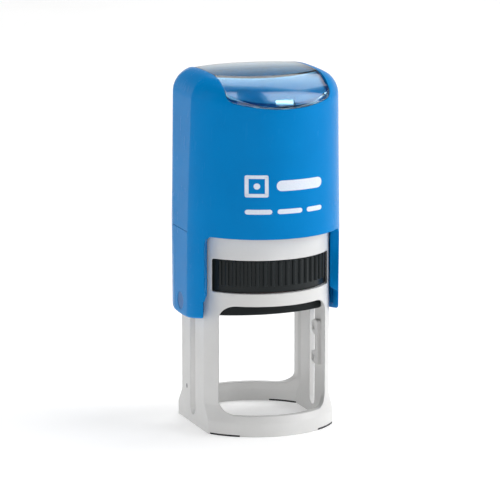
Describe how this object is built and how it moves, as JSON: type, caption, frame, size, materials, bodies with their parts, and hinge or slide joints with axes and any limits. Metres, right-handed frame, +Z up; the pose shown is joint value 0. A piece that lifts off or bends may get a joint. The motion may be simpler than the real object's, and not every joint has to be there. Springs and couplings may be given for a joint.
{
  "type": "self-inking stamp",
  "caption": "Round self-inking stamp: a cap with two arms slides down over a legged frame and turns the die plate from ink pad to paper; ribbed pad drawer, clear index window.",
  "frame": {"origin": "middle of the underside of the base ring, on the surface the stamp stands on", "axes": "+Z up along the press stroke, -Y towards the front with the pad drawer, +X to the right arm"},
  "size_m": [0.0366, 0.0416, 0.0824],
  "materials": {
    "frame_plastic": "satin light grey",
    "foot_rubber": "matte",
    "cap_plastic": "gloss blue",
    "clear_plastic": "clear gloss",
    "card_paper": "matte print",
    "carrier_plastic": "satin black",
    "cushion_foam": "matte foam",
    "plate_rubber": "matte",
    "pad_plastic": "satin black",
    "felt": "inked felt",
    "spring_steel": "bright wire"
  },
  "bodies": {
    "frame": {"base_frame": "frame_plastic", "foot_front_left": "foot_rubber", "foot_front_right": "foot_rubber", "foot_back_left": "foot_rubber", "foot_back_right": "foot_rubber", "return_spring": "spring_steel"},
    "cap": {"cap_shell": "cap_plastic", "handle_yoke": "cap_plastic", "pivot_pin_left": "cap_plastic", "pivot_pin_right": "cap_plastic", "index_card": "card_paper"},
    "window": {"index_window": "clear_plastic"},
    "die": {"die_carrier": "carrier_plastic", "die_cushion": "cushion_foam", "text_plate": "plate_rubber"},
    "pad": {"pad_cassette": "pad_plastic", "ink_felt": "felt"}
  },
  "joints": [
    {"name": "cap_press", "type": "slide", "parent": "frame", "child": "cap", "axis": [0, 0, -1], "range_m": [0, 0.0258], "stiffness_N_per_m": 500, "springref_m": -0.012, "deforming": ["return_spring"]},
    {"name": "die_flip", "type": "hinge", "parent": "cap", "child": "die", "pos_m": [0, 0, 0.0293], "axis": [1, 0, 0], "range_deg": [0, 180]},
    {"name": "pad_slide", "type": "slide", "parent": "frame", "child": "pad", "axis": [0, -1, 0], "range_m": [0, 0.04]},
    {"name": "window_lift", "type": "slide", "parent": "cap", "child": "window", "axis": [0, 0, 1], "range_m": [0, 0.012]}
  ],
  "couplings": [
    {"joint": "die_flip", "follows": "cap_press", "rad_per_m": 121.77}
  ]
}
